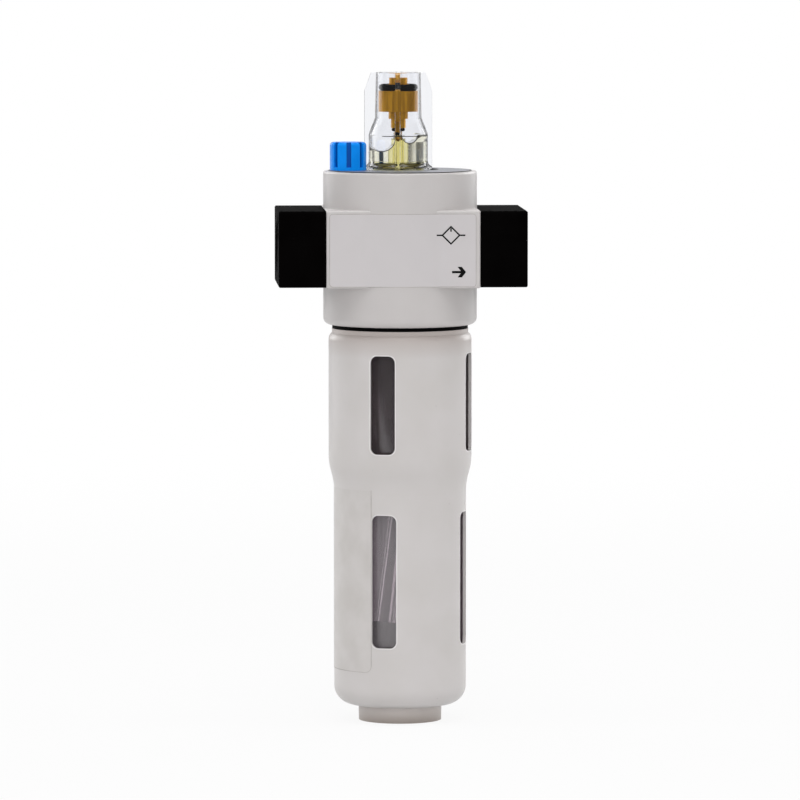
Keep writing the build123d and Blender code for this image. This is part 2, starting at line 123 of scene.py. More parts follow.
@dataclass
class Surface:
    """The nodes of one material while it is made, with its two coordinates on the object."""

    tree: bpy.types.NodeTree
    shader: bpy.types.Node
    output: bpy.types.Node
    spot: bpy.types.NodeSocket
    facing: bpy.types.NodeSocket

    def feed(self, name: str, socket: bpy.types.NodeSocket) -> None:
        """Lead a socket into one of the shader's inputs."""
        self.tree.links.new(socket, self.shader.inputs[name])

    def clouds(self, size: float, detail: float, stretch: Point = (1.0, 1.0, 1.0)) -> bpy.types.NodeSocket:
        """Return soft clouds of a real size.

        Args:
            size: Size of a cloud in millimetres.
            detail: Octaves of finer noise in it.
            stretch: How much longer than its size a cloud is along each axis.

        Returns:
            The clouds, about 0.5 in their middle.
        """
        where = add_node(self.tree, "Mapping", {
            "Vector": self.spot, "Scale": tuple(1 / share for share in stretch),
        })
        made = add_node(self.tree, "TexNoise", {
            "Vector": where.outputs[0], "Scale": 1 / (size * MM), "Detail": detail,
        })
        return made.outputs[0]

    def blend(self, share: bpy.types.NodeSocket, low: Any, high: Any,
              limits: tuple[float, float]) -> bpy.types.NodeSocket:
        """Return a colour between two, by how far a share lies between two limits.

        Args:
            share: Socket of the share.
            low: Colour at and under the lower limit, a socket or sRGB hex digits.
            high: Colour at and over the upper limit, a socket or sRGB hex digits.
            limits: Where the blend begins and where it is complete.

        Returns:
            The blended colour.
        """
        low, high = (linear(colour) if isinstance(colour, str) else colour for colour in (low, high))
        ranged = add_node(self.tree, "MapRange", {0: share, 1: limits[0], 2: limits[1]})
        mixed = add_node(self.tree, "Mix", {0: ranged.outputs[0], 6: low, 7: high}, data_type="RGBA")
        return mixed.outputs[2]

    def vary_roughness(self, clouds: bpy.types.NodeSocket, roughness: float,
                       spread: tuple[float, float]) -> None:
        """Let the roughness follow clouds.

        Args:
            clouds: Socket of the clouds.
            roughness: Mean roughness.
            spread: What their dark and their bright parts add to it.
        """
        ranged = add_node(self.tree, "MapRange", {
            0: clouds, 1: GLOSS_EDGES[0], 2: GLOSS_EDGES[1], 3: roughness + spread[0],
            4: roughness + spread[1],
        })
        self.feed("Roughness", ranged.outputs[0])

    def radius(self, axis: tuple[float, float] = (0.0, 0.0)) -> bpy.types.NodeSocket:
        """Return the distance from an upright axis, in metres.

        Args:
            axis: X and Y of the axis in millimetres.

        Returns:
            The distance.
        """
        centre = (-axis[0] * MM, -axis[1] * MM, 0.0)
        away = add_node(self.tree, "VectorMath", {0: self.spot, 1: centre}, operation="ADD")
        flat = add_node(self.tree, "VectorMath", {0: away.outputs[0], 1: FLAT}, operation="MULTIPLY")
        return add_node(self.tree, "VectorMath", {0: flat.outputs[0]}, operation="LENGTH").outputs["Value"]


@dataclass(frozen=True)
class Finish:
    """A real material and how its surface was made.

    A subclass adds its pattern in decorate().
    """

    name: str
    colour: str
    roughness: float = 0.5
    metallic: float = 0.0
    ior: float = 1.5
    specular: float = 0.5

    def material(self) -> bpy.types.Material:
        """Return this finish as a material, made on first use.

        Returns:
            The material.
        """
        made = bpy.data.materials.get(self.name)
        if made is None:
            made = bpy.data.materials.new(self.name)
            made.use_nodes = True
            tree = made.node_tree
            tree.nodes.clear()
            shader = add_node(tree, "BsdfPrincipled", {
                "Base Color": linear(self.colour), "Roughness": self.roughness,
                "Metallic": self.metallic, "IOR": self.ior, "Specular IOR Level": self.specular,
            })
            output = add_node(tree, "OutputMaterial", {"Surface": shader.outputs[0]})
            where = add_node(tree, "TexCoord").outputs
            self.decorate(Surface(tree, shader, output, where["Object"], where["Normal"]))
        return made

    def decorate(self, surface: Surface) -> None:
        """Add the finish's own pattern; a plain finish has none."""


@dataclass(frozen=True)
class StovedPaint(Finish):
    """Sprayed and stoved paint on metal: a satin film with a faint orange peel.

    The peel breaks the soft highlights a little, and a few specks of dust lie in the film.
    """

    shade: str = "#bdb9b8"
    cloud: float = 14.0
    gloss_cloud: float = 6.0
    gloss_spread: tuple[float, float] = (-0.03, 0.04)
    peel: float = 1.3
    peel_depth: float = 0.006
    speck: str = "#6f6a68"
    speck_spacing: float = 5.0
    speck_size: float = 0.10
    inside: Inside = Inside.SAME
    # Inner face: dark high up as painted shade, lighter low down as painted light from the open foot.
    inside_shaded_high: str = "#64534e"
    inside_lit_low: str = "#a597a1"
    inside_turn: tuple[float, float] = (52.0, 66.0)
    inside_streak: str = "#574a48"
    streak_width: float = 0.9
    streak_stretch: float = 40.0
    streak_share: tuple[float, float] = (0.3, 0.55)
    # From the first outwardness a face turns from the inner finish to the outer one.
    turned_in: tuple[float, float] = (-0.6, -0.3)
    # Painted shade on the rolled rim under the head, and the heights over which it comes in.
    collar_shade: str = ""
    collar_shade_top: tuple[float, float] = (94.0, 99.5)

    def decorate(self, surface: Surface) -> None:
        """Add clouds of tone, specks, painted shade under the head, the dark inner face with its painted
        light and shade, and the peel.

        Args:
            surface: The material's nodes.
        """
        film = surface.blend(surface.clouds(self.cloud, 3.0), self.shade, self.colour, CLOUD_EDGES)
        cells = add_node(surface.tree, "TexVoronoi", {
            "Vector": surface.spot, "Scale": 1 / (self.speck_spacing * MM), "Randomness": 1.0,
        })
        reach = self.speck_size / self.speck_spacing
        film = surface.blend(cells.outputs["Distance"], self.speck, film, (0.5 * reach, reach))
        height = add_node(surface.tree, "SeparateXYZ", {0: surface.spot}).outputs["Z"]
        # Painted shade: the rolled rim darkens towards its top, where the head above it casts shade.
        if self.collar_shade:
            film = surface.blend(height, film, self.collar_shade, in_metres(self.collar_shade_top))
        if self.inside is Inside.DARK:
            # Painted light and shade: the inner face is dark, partly as bare steel and partly as painted
            # shade, and lighter low down as painted light.
            bare = surface.blend(height, self.inside_lit_low, self.inside_shaded_high, in_metres(self.inside_turn))
            streaks = surface.clouds(self.streak_width, 3.0, (1.0, 1.0, self.streak_stretch))
            bare = surface.blend(streaks, self.inside_streak, bare, self.streak_share)
            film = surface.blend(self.outwardness(surface), bare, film, self.turned_in)
        surface.feed("Base Color", film)
        surface.vary_roughness(surface.clouds(self.gloss_cloud, 3.0), self.roughness, self.gloss_spread)
        peel = add_node(surface.tree, "Bump", {
            "Height": surface.clouds(self.peel, 1.0), "Strength": 1.0, "Distance": self.peel_depth * MM,
        })
        surface.feed("Normal", peel.outputs[0])

    def outwardness(self, surface: Surface) -> bpy.types.NodeSocket:
        """Return how far a face looks away from the upright axis.

        Args:
            surface: The material's nodes.

        Returns:
            A share from 1, straight outwards, to -1, straight inwards.
        """
        tree = surface.tree
        spread = add_node(tree, "VectorMath", {0: surface.spot, 1: FLAT}, operation="MULTIPLY")
        outward = add_node(tree, "VectorMath", {0: spread.outputs[0]}, operation="NORMALIZE")
        meet = add_node(tree, "VectorMath", {0: surface.facing, 1: outward.outputs[0]},
                        operation="DOT_PRODUCT")
        return meet.outputs["Value"]


@dataclass(frozen=True)
class Moulded(Finish):
    """Injection moulding: even colour, a fine spark-eroded grain and soft flow clouds."""

    shade: str = "#808080"
    cloud: float = 6.0
    gloss_spread: tuple[float, float] = (-0.04, 0.05)
    # A moulded or blasted grain of 0.05 mm is too fine to show, so it is drawn a few times as coarse.
    grain: float = 0.25
    grain_depth: float = 0.006

    def decorate(self, surface: Surface) -> None:
        """Add flow clouds and the tool's grain.

        Args:
            surface: The material's nodes.
        """
        film = surface.blend(surface.clouds(self.cloud, 3.0), self.shade, self.colour, CLOUD_EDGES)
        surface.feed("Base Color", film)
        surface.vary_roughness(surface.clouds(self.cloud / 3, 2.0), self.roughness, self.gloss_spread)
        grain = add_node(surface.tree, "Bump", {
            "Height": surface.clouds(self.grain, 1.0), "Strength": 1.0, "Distance": self.grain_depth * MM,
        })
        surface.feed("Normal", grain.outputs[0])


@dataclass(frozen=True)
class GroovedMoulding(Moulded):
    """Moulding with deep grooves round its grip, darkened with painted shade, since hardly any light comes
    back out of them.
    """

    groove: str = "#0458ae"
    axis: tuple[float, float] = (-13.38, -2.0)
    groove_r: tuple[float, float] = (3.7, 4.5)

    def decorate(self, surface: Surface) -> None:
        """Add the moulding's pattern and painted shade in the grooves, but not on the crown.

        Args:
            surface: The material's nodes.
        """
        super().decorate(surface)
        film = surface.shader.inputs["Base Color"].links[0].from_socket
        # Painted shade: faces deep in the grooves turn dark blue.
        deep = surface.blend(surface.radius(self.axis), self.groove, film, in_metres(self.groove_r))
        upward = add_node(surface.tree, "SeparateXYZ", {0: surface.facing}).outputs["Z"]
        surface.feed("Base Color", surface.blend(upward, deep, film, CROWN_EDGES))


@dataclass(frozen=True)
class ClearMoulded(Finish):
    """Clear moulded plastic: glossy faces that bend what is behind them.

    A rounding of its edges, where it has one, catches the light. Lamps shine through it, so what
    stands inside is lit as it is in the real one.
    """

    edge_r: float = 0.0
    edge_samples: int = 8

    def decorate(self, surface: Surface) -> None:
        """Make the plastic clear and let the lamps through it.

        Args:
            surface: The material's nodes.
        """
        tree = surface.tree
        surface.shader.inputs["Transmission Weight"].default_value = 1.0
        if self.edge_r > 0:
            rounded = add_node(tree, "Bevel", {"Radius": self.edge_r * MM}, samples=self.edge_samples)
            surface.feed("Normal", rounded.outputs[0])
        passing = add_node(tree, "BsdfTransparent", {"Color": linear(self.colour)})
        lamp_ray = add_node(tree, "LightPath").outputs["Is Shadow Ray"]
        both = add_node(tree, "MixShader", {
            0: lamp_ray, 1: surface.shader.outputs[0], 2: passing.outputs[0],
        })
        tree.links.new(both.outputs[0], surface.output.inputs["Surface"])


@dataclass(frozen=True)
class FootedClear(ClearMoulded):
    """Clear moulding with a thick foot that is scuffed dull grey, with painted shade that darkens it towards
    its rim.

    A mist of oil on the wall makes it a little milky, most of all low down.
    """

    foot_colour: str = "#dcd6d3"
    shaded_foot_rim: str = "#a39992"
    # Heights between which the dull foot gives way to the clear wall.
    foot_top: tuple[float, float] = (5.2, 5.6)
    foot_roughness: float = 0.42
    clear_low: float = 0.91
    clear_high: float = 0.97
    mist_top: tuple[float, float] = (50.0, 68.0)

    def decorate(self, surface: Surface) -> None:
        """Add the dull foot, with painted shade towards its rim, under the clear wall.

        Args:
            surface: The material's nodes.
        """
        super().decorate(surface)
        height = add_node(surface.tree, "SeparateXYZ", {0: surface.spot}).outputs["Z"]
        start, end = in_metres(self.foot_top)
        # Painted shade: the foot darkens towards its rim, where it stands in shade under the guard.
        dull = surface.blend(height, self.shaded_foot_rim, self.foot_colour, (0.0, start))
        surface.feed("Base Color", surface.blend(height, dull, self.colour, (start, end)))
        low, high = in_metres(self.mist_top)
        mist = add_node(surface.tree, "MapRange", {
            0: height, 1: low, 2: high, 3: self.clear_low, 4: self.clear_high,
        })
        clear = add_node(surface.tree, "MapRange", {0: height, 1: start, 2: end, 4: mist.outputs[0]})
        surface.feed("Transmission Weight", clear.outputs[0])
        gloss = add_node(surface.tree, "MapRange", {
            0: height, 1: start, 2: end, 3: self.foot_roughness, 4: self.roughness,
        })
        surface.feed("Roughness", gloss.outputs[0])


@dataclass(frozen=True)
class LacqueredSheet(Finish):
    """Lacquer on a blanked sheet: it mirrors what stands on it at a flat angle; its cut edge and the outer
    rim of its face are dark, partly bare edge and partly painted shade of the gap round it.
    """

    shade: str = "#757883"
    cloud: float = 12.0
    edge: str = "#2e2a2a"
    shaded_rim_r: tuple[float, float] = (17.7, 17.9)
    wave: float = 2.5
    wave_depth: float = 0.003

    def decorate(self, surface: Surface) -> None:
        """Add the film's clouds, the dark cut edge and rim with their painted shade, and a slow wave in the
        gloss.

        Args:
            surface: The material's nodes.
        """
        film = surface.blend(surface.clouds(self.cloud, 3.0), self.shade, self.colour, CLOUD_EDGES)
        # Painted shade: the outer rim of the face and the cut edge are dark where the gap round the sheet
        # lies in shade.
        film = surface.blend(surface.radius(), film, self.edge, in_metres(self.shaded_rim_r))
        upward = add_node(surface.tree, "SeparateXYZ", {0: surface.facing}).outputs["Z"]
        surface.feed("Base Color", surface.blend(upward, self.edge, film, CROWN_EDGES))
        wave = add_node(surface.tree, "Bump", {
            "Height": surface.clouds(self.wave, 1.0), "Strength": 1.0, "Distance": self.wave_depth * MM,
        })
        surface.feed("Normal", wave.outputs[0])


@dataclass(frozen=True)
class TurnedMetal(Finish):
    """Metal off the lathe: fine tool lines round the axis and slow streaks along it."""

    shade: str = "#7a5a24"
    # Tool lines 0.05 mm apart are too fine to show, so they are drawn about twice as coarse.
    line: float = 0.12
    line_depth: float = 0.004
    line_stretch: float = 40.0
    streak: float = 1.1
    streak_stretch: float = 14.0
    streak_share: tuple[float, float] = (0.38, 0.62)

    def decorate(self, surface: Surface) -> None:
        """Add the tool lines and the streaks of tarnish.

        Args:
            surface: The material's nodes.
        """
        streaks = surface.clouds(self.streak, 2.0, (1.0, 1.0, self.streak_stretch))
        surface.feed("Base Color", surface.blend(streaks, self.shade, self.colour, self.streak_share))
        height = surface.clouds(self.line, 1.0, (self.line_stretch, self.line_stretch, 1.0))
        lines = add_node(surface.tree, "Bump", {
            "Height": height, "Strength": 1.0, "Distance": self.line_depth * MM,
        })
        surface.feed("Normal", lines.outputs[0])


@dataclass(frozen=True)
class Sintered(Finish):
    """Bronze powder sintered to a porous cup: round grains with dark pores between."""

    pore: str = "#1f1a15"
    pore_share: tuple[float, float] = (0.3, 0.75)
    grain: float = 0.35
    disorder: float = 0.9
    grain_depth: float = 0.12

    def decorate(self, surface: Surface) -> None:
        """Add the grains and the pores between them.

        Args:
            surface: The material's nodes.
        """
        away = add_node(surface.tree, "TexVoronoi", {
            "Vector": surface.spot, "Scale": 1 / (self.grain * MM), "Randomness": self.disorder,
        }).outputs["Distance"]
        surface.feed("Base Color", surface.blend(away, self.colour, self.pore, self.pore_share))
        rise = add_node(surface.tree, "Math", {0: 1.0, 1: away}, operation="SUBTRACT")
        grains = add_node(surface.tree, "Bump", {
            "Height": rise.outputs[0], "Strength": 1.0, "Distance": self.grain_depth * MM,
        })
        surface.feed("Normal", grains.outputs[0])


# Stoved paint on the casting: light grey and satin, with soft highlights.
HEAD_PAINT = StovedPaint("stoved grey paint on die-cast zinc", "#c4c0bf", roughness=0.34, shade="#c1bdbc")
# The same paint on the guard looks a shade lighter. The rolled rim under the head carries painted shade, and
# the inner face is dark:
# partly bare steel, partly painted shade, with painted light low down where light comes in by the open foot.
GUARD_PAINT = StovedPaint("stoved grey paint on drawn steel", "#cbc7c6", roughness=0.34, shade="#c7c3c1",
                          inside=Inside.DARK, collar_shade="#b8afab")
# Lacquered sheet: a darker blue grey than the paint, and it mirrors the dome and the plug at a flat angle.
# Its cut edge and outer rim carry painted shade.
COVER_LACQUER = LacqueredSheet("gloss lacquer on blanked aluminium sheet", "#7b7d88", roughness=0.4)
# Blasted and black anodised plate: hardly any shine, so it looks evenly black from every side.
BLACK_ANODISED = Moulded("black anodised blasted aluminium", "#050404", roughness=0.8, specular=0.015,
                         shade="#030202", cloud=9.0, grain=0.2, grain_depth=0.004)
# Polyamide dome: water clear with a faint blue cast, and narrow roundings that draw its edges.
DOME_CLEAR = ClearMoulded("clear moulded polyamide", "#fbfcff", roughness=0.0, ior=1.52, edge_r=0.4)
# The cup stands in the oil, whose index is nearly its own, so its walls all but vanish there.
CUP_CLEAR = ClearMoulded("clear moulded polyamide wetted by oil", "#f4efc4", roughness=0.0, ior=1.04)
# Polycarbonate bowl: clear with a grey cast, high index, so strong edge reflections.
BOWL_CLEAR = FootedClear("clear moulded polycarbonate", "#ece6ea", roughness=0.05, ior=1.55)
# Extruded hose: clear with a grey cast, and not quite sharp to look through.
HOSE_CLEAR = ClearMoulded("clear extruded polyurethane", "#e2dee0", roughness=0.02, ior=1.52)
# Mineral oil: pale straw liquid, perfectly smooth.
OIL = ClearMoulded("pale mineral oil", "#fefae1", roughness=0.0, ior=1.47)
# Painted refraction: the oil's curved edge along the wall bends the view down to the dark head, and thin dark
# strips on the wall stand for the line this draws.
PAINTED_OIL_LINE = Moulded("painted dark line at the oil's edge", "#3a342a", roughness=0.3, ior=1.47, shade="#2b2620",
                   cloud=2.0, grain=0.3, grain_depth=0.001)
# Turned brass under a thin brown tarnish, so it is a little less than all metal to the eye.
BRASS = TurnedMetal("turned brass", "#e4a62a", roughness=0.3, metallic=0.75, shade="#b8821c")
# Zinc-plated steel: cool grey metal, satin.
STEEL = TurnedMetal("zinc-plated steel", "#aeb0b4", roughness=0.32, metallic=1.0, shade="#95979b",
                    streak=2.0)
# Nitrile rubber moulding: deep black, next to no sheen.
RUBBER = Moulded("moulded nitrile rubber", "#050505", roughness=0.7, ior=1.52, specular=0.03,
                 shade="#040404", cloud=4.0, grain=0.15)
# Acetal mouldings: slightly waxy shine; the blue one has painted shade in the grooves of its grip.
BLUE_ACETAL = GroovedMoulding("blue moulded acetal", "#0690f8", roughness=0.34, ior=1.48, specular=0.15,
                              shade="#0488ee", grain=0.5, grain_depth=0.003)
BLACK_ACETAL = Moulded("black moulded acetal", "#151414", roughness=0.4, ior=1.48, shade="#100f0f")
WHITE_ACETAL = Moulded("white moulded acetal", "#e4e2dc", roughness=0.4, ior=1.48, shade="#dddad3")
# Sintered cup, soaked with oil: a dark brown, dull and grainy surface.
SINTERED_BRONZE = Sintered("sintered bronze", "#2e2823", roughness=0.6, metallic=0.3)
# Label film: matt grey foil, glued on.
LABEL_FILM = Moulded("matt grey polyester foil", "#c8c4c5", shade="#c6c2c3", cloud=12.0, grain=0.3,
                     grain_depth=0.001)
# Screen-printed ink: flat black.
INK = Moulded("black screen-print ink", "#040404", roughness=0.6, specular=0.2, shade="#020202")
# Clear film of the sticker: the paint's grey shows through it, with a smudge here and there.
STICKER_FILM = Moulded("clear polyester film on grey paint", "#c9c5c3", roughness=0.35, shade="#c1bdba",
                       cloud=7.0, grain=0.4, grain_depth=0.001)
# Painted highlight round a punched window: a light strip stands for the light that the window's edge catches.
WINDOW_HIGHLIGHT = Moulded("painted highlight on a punched window edge", "#e6e3e3", roughness=0.36, shade="#dcd8d8",
                      cloud=5.0, grain=0.4, grain_depth=0.001)
# A film's cut edge: a thin matt line, a little darker than the paint.
FILM_EDGE = Moulded("darker line on a film's cut edge", "#a09b98", roughness=0.7, specular=0.2, shade="#b6b1ae",
                    cloud=3.0, grain=0.3, grain_depth=0.001)


def dress(finish: Finish, *names: str) -> None:
    """Give CAD nodes a finish in every one of their material slots.

    Args:
        finish: The finish.
        names: Names of the nodes.
    """
    for name in names:
        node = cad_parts[name]
        for place in node.material_slots:
            place.material = finish.material()
        LOG.info("dressed %s: %s", name, finish.name)


def make_piece(name: str, points: Sequence[Point], faces: Faces, finish: Finish, body: str,
               crease: float = 35.0) -> bpy.types.Object:
    """Make one closed mesh piece that rides on a body.

    Args:
        name: Name of the piece.
        points: Its points in millimetres.
        faces: Its faces, as point numbers.
        finish: Its material.
        body: Name of the body that it rides on.
        crease: Angle in degrees from which an edge stays sharp.

    Returns:
        The new object.
    """
    mesh = bpy.data.meshes.new(name)
    mesh.from_pydata([[MM * value for value in point] for point in points], [], faces)
    work = bmesh.new()
    work.from_mesh(mesh)
    bmesh.ops.remove_doubles(work, verts=work.verts, dist=WELD * MM)
    bmesh.ops.recalc_face_normals(work, faces=work.faces)
    work.to_mesh(mesh)
    work.free()
    mesh.shade_smooth()
    mesh.set_sharp_from_angle(angle=math.radians(crease))
    mesh.materials.append(finish.material())
    made = bpy.data.objects.new(name, mesh)
    bpy.context.scene.collection.objects.link(made)
    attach(made, body)
    LOG.info("built %s: %d faces, rides on %s", name, len(mesh.polygons), body)
    return made


def bar_faces(count: int, order: tuple[int, int, int, int]) -> Faces:
    """Return the faces of a bar that has four points in each of its cross-sections.

    Args:
        count: Number of cross-sections.
        order: The four points of one in the order in which they go round it.

    Returns:
        The bar's two ends and its long sides.
    """
    last = 4 * (count - 1)
    faces: Faces = [order, tuple(last + corner for corner in order)]
    for low in range(0, last, 4):
        for first, second in zip(order, order[1:] + order[:1]):
            faces.append((low + first, low + second, low + 4 + second, low + 4 + first))
    return faces


def plate_of(outlines: Sequence[Outline], lift: Lift, thickness: float) -> tuple[list[Point], Faces]:
    """Build a thin plate from one outline, with any further outline as a hole's edge.

    Args:
        outlines: The outer outline, then an inner one with as many points, or none.
        lift: Turns two flat coordinates and a height into a point.
        thickness: Height of the plate.

    Returns:
        Points and faces of the closed plate.
    """
    count = len(outlines[0])
    points = [lift(u, v, height) for height in (0.0, thickness) for line in outlines for u, v in line]
    rings = len(outlines)
    faces: Faces = []
    for index in range(count):
        after = (index + 1) % count
        for ring in range(rings):
            low, high = ring * count, (rings + ring) * count
            faces.append((low + index, low + after, high + after, high + index))
        if rings == 2:
            for base in (0, 2 * count):
                faces.append((base + index, base + after, base + count + after, base + count + index))
    if rings == 1:
        faces += [tuple(range(count)), tuple(range(count, 2 * count))]
    return points, faces


def rounded_outline(width: float, height: float, corner: float, steps: int = 6,
                    cuts: int = 0) -> list[tuple[float, float]]:
    """Return a rectangle's outline with round corners, its middle at the origin.

    Args:
        width: Its width.
        height: Its height.
        corner: Radius of its corners.
        steps: Straight runs in each corner.
        cuts: Further points on each straight side, so that it can bend.

    Returns:
        The outline's points in order.
    """
    corners = []
    for quarter in range(4):
        across = (width / 2 - corner) * (1 if quarter in (0, 3) else -1)
        along = (height / 2 - corner) * (1 if quarter in (0, 1) else -1)
        for step in range(steps + 1):
            angle = math.radians(90 * (quarter + step / steps))
            corners.append((across + corner * math.cos(angle), along + corner * math.sin(angle)))
    outline = []
    for index, (across, along) in enumerate(corners):
        outline.append((across, along))
        if index % (steps + 1) == steps:
            after = corners[(index + 1) % len(corners)]
            for cut in range(1, cuts + 1):
                share = cut / (cuts + 1)
                outline.append((across + share * (after[0] - across), along + share * (after[1] - along)))
    return outline


@dataclass(frozen=True)
class Film:
    """A thin glued film with round corners that bends across its width, and the line of its cut edge."""

    width: float
    height: float
    corner: float
    thickness: float
    columns: int
    line_width: float
    line_thickness: float

    def build(self, name: str, lift: Lift, finish: Finish, body: str, slot: str) -> None:
        """Make the film and the narrow darker line along its cut edge.

        Args:
            name: Name of the film's piece; the line's piece adds _edge to it.
            lift: Turns two flat coordinates and a height into a point.
            finish: The film's material.
            body: Name of the body that both ride on.
            slot: Name of the record's material slot; not used.
        """
        points, faces = self.sheet(lift)
        make_piece(name, points, faces, finish, body)
        outlines = [
            rounded_outline(self.width - inset, self.height - inset, self.corner - inset / 2,
                            cuts=self.columns)
            for inset in (0.0, 2 * self.line_width)
        ]
        points, faces = plate_of(outlines, lambda u, v, rise: lift(u, v, rise + self.thickness),
                                 self.line_thickness)
        make_piece(f"{name}_edge", points, faces, FILM_EDGE, body)

    def sheet(self, lift: Lift) -> tuple[list[Point], Faces]:
        """Build the closed film.

        Args:
            lift: Turns two flat coordinates and a height into a point.

        Returns:
            Its points and faces.
        """
        places = {self.width * (step / self.columns - 0.5) for step in range(self.columns + 1)}
        places |= {u for u, _ in rounded_outline(self.width, self.height, self.corner)}
        points: list[Point] = []
        for u in sorted(places):
            inset = self.corner - (self.width / 2 - abs(u))
            drop = self.corner - math.sqrt(max(0.0, self.corner ** 2 - inset ** 2)) if inset > 0 else 0.0
            for level in (0.0, self.thickness):
                for v in (drop - self.height / 2, self.height / 2 - drop):
                    points.append(lift(u, v, level))
        return points, bar_faces(len(places), (0, 1, 3, 2))


@dataclass
class HeadBlock:
    """Cast head with its cover plate and the printed foil on the block's face."""

    head_r: float = 19.7
    block_face: float = 17.9
    # The foil spans the hollow between the flat face and the round body: how softly, where and how wide.
    bridge: float = 0.6
    bridge_place: float = 8.23
    bridge_width: float = 2.4
    foil: Film = Film(width=37.3, height=18.6, corner=0.9, thickness=0.03, columns=96, line_width=0.13,
                      line_thickness=0.01)
    foil_middle: tuple[float, float] = (-0.15, 121.65)
    foil_sink: float = 0.03
    print_thickness: float = 0.01
    symbol_middle: tuple[float, float] = (12.05, 125.5)
    symbol_reach: float = 2.45
    symbol_line: float = 0.38
    symbol_stub: float = 1.2
    stub_overlap: float = 0.2
    drop_span: tuple[float, float] = (0.91, 1.77)
    arrow_middle: tuple[float, float] = (14.1, 116.15)
    arrow_outline: Outline = (
        (1.78, 0.0), (0.70, 1.34), (-0.37, 1.34), (0.42, 0.29), (-1.78, 0.29),
        (-1.78, -0.29), (0.42, -0.29), (-0.37, -1.34), (0.70, -1.34),
    )

    def build(self) -> None:
        """Dress the casting and add the foil with its print."""
        dress(HEAD_PAINT, "head_casting")
        dress(COVER_LACQUER, "top_cover_plate")
        dress(RUBBER, "dome_foot_ring")
        self.foil.build("block_foil", self.on_face(self.foil_middle, 0.0), LABEL_FILM, "head",
                        "painted_head")
        self.add_print()

    def face_depth(self, x: float, bridge: float) -> float:
        """Return how far the block's face stands in front of the axis.

        The round body swells out of the flat face in its middle.

        Args:
            x: Place across the face.
            bridge: How softly a film spans the hollow where the two meet.

        Returns:
            The distance in millimetres.
        """
        swell = math.sqrt(max(0.0, self.head_r ** 2 - x ** 2))
        soft = bridge * math.exp(-((abs(x) - self.bridge_place) / self.bridge_width) ** 2)
        return (self.block_face + swell + math.hypot(self.block_face - swell, soft)) / 2

    def on_face(self, middle: tuple[float, float], depth: float) -> Lift:
        """Return the placing of flat coordinates on the block's face.

        Args:
            middle: X and Z of the flat origin.
            depth: How far in front of the face the plate starts.

        Returns:
            A function from two flat coordinates and a height to a point.
        """
        def place(u: float, v: float, height: float) -> Point:
            """Place one point of a film; a height of 0 on the face itself is sunk into it.

            Args:
                u: Place across the film.
                v: Place up it.
                height: Height over the film's foot.

            Returns:
                The point.
            """
            x = middle[0] + u
            if depth + height == 0.0:
                return x, -self.face_depth(x, 0.0) + self.foil_sink, middle[1] + v
            return x, -self.face_depth(x, self.bridge) - depth - height, middle[1] + v
        return place

    def add_print(self) -> None:
        """Add the drawn sign of a lubricator and the arrow that shows the flow."""
        for name, middle, outlines in (
            ("print_symbol_diamond", self.symbol_middle, self.diamond()),
            ("print_symbol_stub_left", self.symbol_middle, [self.bar(-1)]),
            ("print_symbol_stub_right", self.symbol_middle, [self.bar(1)]),
            ("print_symbol_drop", self.symbol_middle, [self.drop()]),
            ("print_flow_arrow", self.arrow_middle, [self.arrow_outline]),
        ):
            place = self.on_face(middle, self.foil.thickness)
            points, faces = plate_of(outlines, place, self.print_thickness)
            make_piece(name, points, faces, INK, "head")

    def diamond(self) -> list[Outline]:
        """Return the sign's square on its corner.

        Returns:
            Its outer and its inner outline.
        """
        inner = self.symbol_reach - self.symbol_line * math.sqrt(2)
        return [[(reach, 0.0), (0.0, reach), (-reach, 0.0), (0.0, -reach)]
                for reach in (self.symbol_reach, inner)]

    def bar(self, side: int) -> Outline:
        """Return one of the sign's short side lines.

        Args:
            side: 1 for the right one and -1 for the left one.

        Returns:
            Its outline.
        """
        near, far = (side * (self.symbol_reach + reach) for reach in (-self.stub_overlap, self.symbol_stub))
        half = self.symbol_line / 2
        return [(near, -half), (far, -half), (far, half), (near, half)]

    def drop(self) -> Outline:
        """Return the short stroke under the sign's upper corner.

        Returns:
            Its outline.
        """
        low, high = self.drop_span
        half = self.symbol_line / 2
        return [(-half, low), (half, low), (half, high), (-half, high)]


@dataclass
class ConnectingPlates:
    """Black plates on both ends of the air way, with screws, seals and port threads."""

    port_r: float = 5.72
    thread_depth: float = 0.38
    thread_pitch: float = 1.337
    thread_turns: float = 5.5
    outer_face: float = 31.6
    port_z: float = 121.9
    thread_start: float = 1.0
    # Where the ridge's root, both ends of its crest and its other root lie, in pitches.
    flanks: tuple[float, ...] = (0.0, 0.35, 0.45, 0.8)
    root_sink: float = 0.02
    steps: int = 48

    def build(self) -> None:
        """Dress both plates and cut their port threads."""
        for side in Side:
            end = side.name.lower()
            dress(BLACK_ANODISED, f"{end}_plate")
            dress(STEEL, f"{end}_plate_screws")
            dress(RUBBER, f"{end}_seal")
            self.add_thread(side)

    def add_thread(self, side: Side) -> None:
        """Add the ridge of one port's pipe thread, wound along the port's wall.

        Args:
            side: The end of the air way that the port is at.
        """
        count = int(self.thread_turns * self.steps)
        points: list[Point] = []
        for step in range(count + 1):
            angle = 2 * math.pi * step / self.steps
            fade = min(1.0, step / self.steps, (count - step) / self.steps)
            along = self.outer_face - self.thread_start - step / self.steps * self.thread_pitch
            root, crest = self.port_r + self.root_sink, self.port_r - self.thread_depth * fade
            for radius, flank in zip((root, crest, crest, root), self.flanks):
                x = side.value * (along - flank * self.thread_pitch)
                points.append((x, radius * math.cos(angle), self.port_z + radius * math.sin(angle)))
        make_piece(f"{side.name.lower()}_port_thread", points, bar_faces(count + 1, (0, 1, 2, 3)),
                   BLACK_ANODISED, "head")


